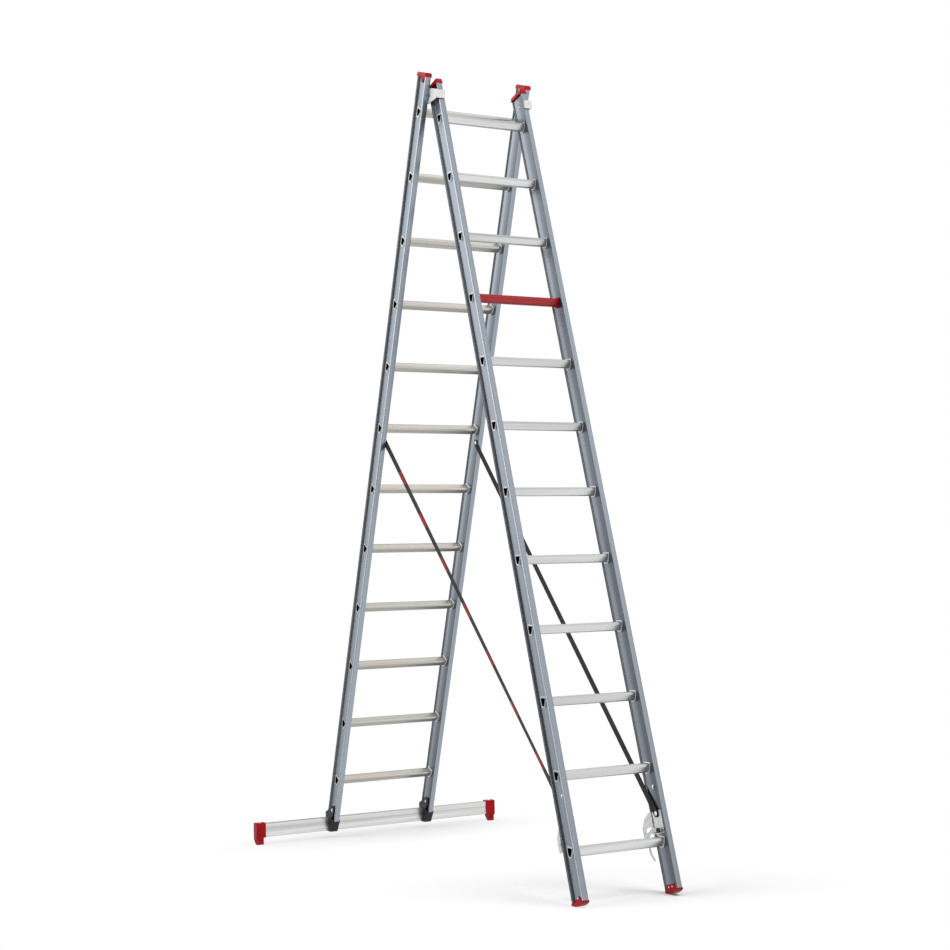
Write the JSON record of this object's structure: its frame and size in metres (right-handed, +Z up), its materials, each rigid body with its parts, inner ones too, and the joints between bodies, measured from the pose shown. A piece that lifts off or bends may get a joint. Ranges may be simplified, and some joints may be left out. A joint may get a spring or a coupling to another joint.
{
  "type": "extension ladder",
  "caption": "Two-section aluminium ladder standing open as an A-frame; the front section slides and folds on top rollers, with side straps and a wide stabiliser bar.",
  "frame": {"origin": "middle of the bounding box on the floor, with the ladder standing open", "axes": "+Z up, +X across the ladder to the right as seen from the climbing side, +Y from the sliding front section to the base section"},
  "size_m": [1.116, 1.9341, 3.006],
  "materials": {
    "stile_aluminium": "extruded, fine lengthwise draw lines, satin",
    "rung_aluminium": "extruded, bright satin",
    "bar_aluminium": "extruded, satin",
    "red_coating": "powder coated, satin",
    "red_plastic": "moulded, lightly grained",
    "black_plastic": "moulded, lightly grained",
    "bracket_enamel": "off-white coated casting",
    "white_nylon": "machined nylon",
    "zinc_steel": "zinc plated",
    "hook_steel": "galvanised pressing",
    "catch_steel": "zinc plated strip",
    "rivet_aluminium": "plain",
    "strap_webbing": "flat woven polyester webbing",
    "strap_patch": "woven patch sewn on the webbing"
  },
  "bodies": {
    "base_section": {"base_rung_01": "rung_aluminium", "base_rung_02": "rung_aluminium", "base_rung_03": "rung_aluminium", "base_rung_04": "rung_aluminium", "base_rung_05": "rung_aluminium", "base_rung_06": "rung_aluminium", "base_rung_07": "rung_aluminium", "base_rung_08": "rung_aluminium", "base_rung_09": "rung_aluminium", "base_rung_10": "rung_aluminium", "base_rung_11": "rung_aluminium", "base_rung_12": "rung_aluminium", "base_stile_right": "stile_aluminium", "base_stile_left": "stile_aluminium", "base_top_cap_right": "red_plastic", "base_top_cap_left": "red_plastic", "guide_bracket_right": "bracket_enamel", "guide_bracket_left": "bracket_enamel", "guide_bracket_rivets": "rivet_aluminium", "hinge_studs": "zinc_steel", "stabiliser_bar": "bar_aluminium", "stabiliser_foot_right": "red_plastic", "stabiliser_foot_left": "red_plastic", "stabiliser_foot_rivets": "rivet_aluminium", "stile_shoe_right": "black_plastic", "stile_shoe_left": "black_plastic", "stile_shoe_bolts": "zinc_steel", "strap_bolts": "zinc_steel"},
    "fly_section": {"fly_rung_01": "rung_aluminium", "fly_rung_02": "rung_aluminium", "fly_rung_03": "rung_aluminium", "fly_rung_04": "red_coating", "fly_rung_05": "rung_aluminium", "fly_rung_06": "rung_aluminium", "fly_rung_07": "rung_aluminium", "fly_rung_08": "rung_aluminium", "fly_rung_09": "rung_aluminium", "fly_rung_10": "rung_aluminium", "fly_rung_11": "rung_aluminium", "fly_rung_12": "rung_aluminium", "fly_stile_right": "stile_aluminium", "fly_stile_left": "stile_aluminium", "fly_top_cap_right": "red_plastic", "fly_top_cap_left": "red_plastic", "fly_foot_right": "red_plastic", "fly_foot_left": "red_plastic", "fly_foot_rivets": "rivet_aluminium", "hook_plate_right": "hook_steel", "hook_plate_left": "hook_steel", "fly_section_fasteners": "zinc_steel", "hook_catch_pins": "zinc_steel", "hook_catch_covers": "black_plastic"},
    "guide_roller_pair": {"guide_rollers": "white_nylon"},
    "catch_right": {"hook_catch_right": "catch_steel"},
    "catch_left": {"hook_catch_left": "catch_steel"},
    "strap_upper_runs": {"strap_upper_right": "strap_webbing", "strap_upper_left": "strap_webbing"},
    "strap_lower_runs": {"strap_lower_right": "strap_webbing", "strap_lower_left": "strap_webbing"}
  },
  "joints": [
    {"name": "section_fold", "type": "hinge", "parent": "base_section", "child": "guide_roller_pair", "pos_m": [0, -0.05772, 2.89938], "axis": [-1, 0, 0], "range_deg": [-33.7, 0]},
    {"name": "fly_slide", "type": "slide", "parent": "guide_roller_pair", "child": "fly_section", "axis": [0, 0.2854, 0.9584], "range_m": [0, 2.135]},
    {"name": "catch_swing_left", "type": "hinge", "parent": "fly_section", "child": "catch_left", "pos_m": [0, -0.87833, 0.20628], "axis": [1, 0, 0], "range_deg": [0, 25], "stiffness_Nm_per_rad": 0.05, "springref_deg": -17.19},
    {"name": "catch_swing_right", "type": "hinge", "parent": "fly_section", "child": "catch_right", "pos_m": [0, -0.87833, 0.20628], "axis": [1, 0, 0], "range_deg": [0, 25], "stiffness_Nm_per_rad": 0.05, "springref_deg": -17.19},
    {"name": "strap_upper_swing", "type": "hinge", "parent": "base_section", "child": "strap_upper_runs", "pos_m": [0, 0.39301, 1.61127], "axis": [1, 0, 0], "range_deg": [0, 35.3], "deforming": ["strap_upper_left", "strap_upper_right"]},
    {"name": "strap_lower_swing", "type": "hinge", "parent": "fly_section", "child": "strap_lower_runs", "pos_m": [0, -0.85823, 0.25976], "axis": [1, 0, 0], "range_deg": [-114.4, 0], "deforming": ["strap_lower_left", "strap_lower_right"]}
  ],
  "couplings": [
    {"joint": "strap_upper_swing", "follows": "fly_slide", "rad_per_m": 0.27237},
    {"joint": "strap_lower_swing", "follows": "fly_slide", "rad_per_m": -0.91856}
  ]
}
